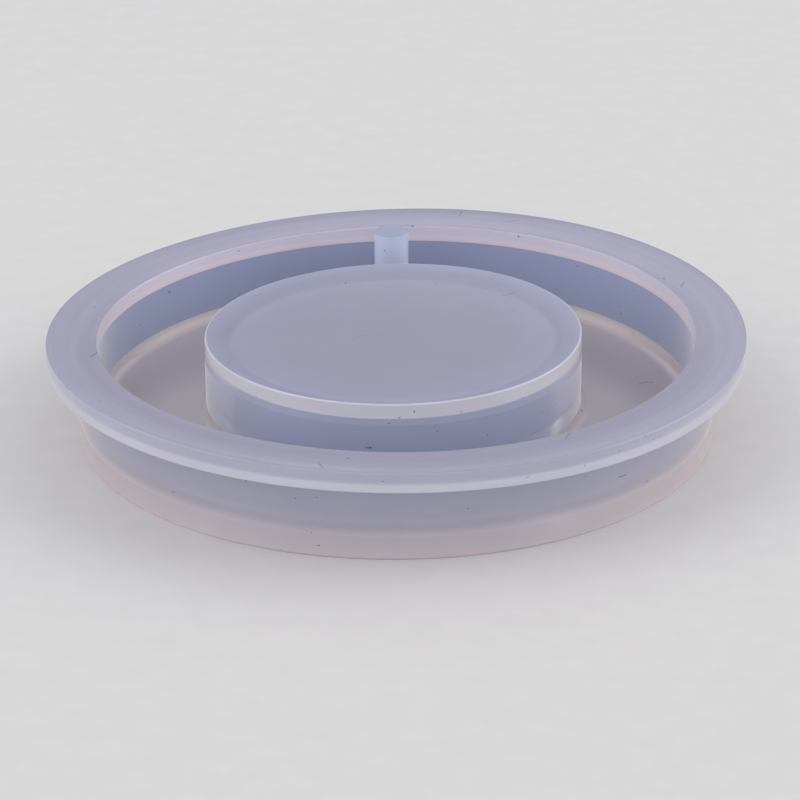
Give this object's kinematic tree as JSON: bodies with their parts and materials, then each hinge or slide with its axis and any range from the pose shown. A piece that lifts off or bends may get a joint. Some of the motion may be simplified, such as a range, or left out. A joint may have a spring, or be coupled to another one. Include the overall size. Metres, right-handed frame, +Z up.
{
  "type": "resin casting mould",
  "caption": "Round flanged silicone mould with a raised hollow core and a hole pin, for casting a flat resin ring with a hanging hole.",
  "frame": {"origin": "centre of the flat underside, where the mould stands on a table", "axes": "+Z up, out of the mould's open side; the hole pin stands at +Y, and -Y is the front"},
  "size_m": [0.06, 0.06, 0.0096],
  "materials": {
    "clear_silicone": "milky translucent silicone rubber, satin"
  },
  "bodies": {
    "root": {"rim_flange": "clear_silicone", "side_wall": "clear_silicone", "channel_floor": "clear_silicone", "core_wall": "clear_silicone", "core_top": "clear_silicone", "hole_pin": "clear_silicone"}
  },
  "joints": []
}
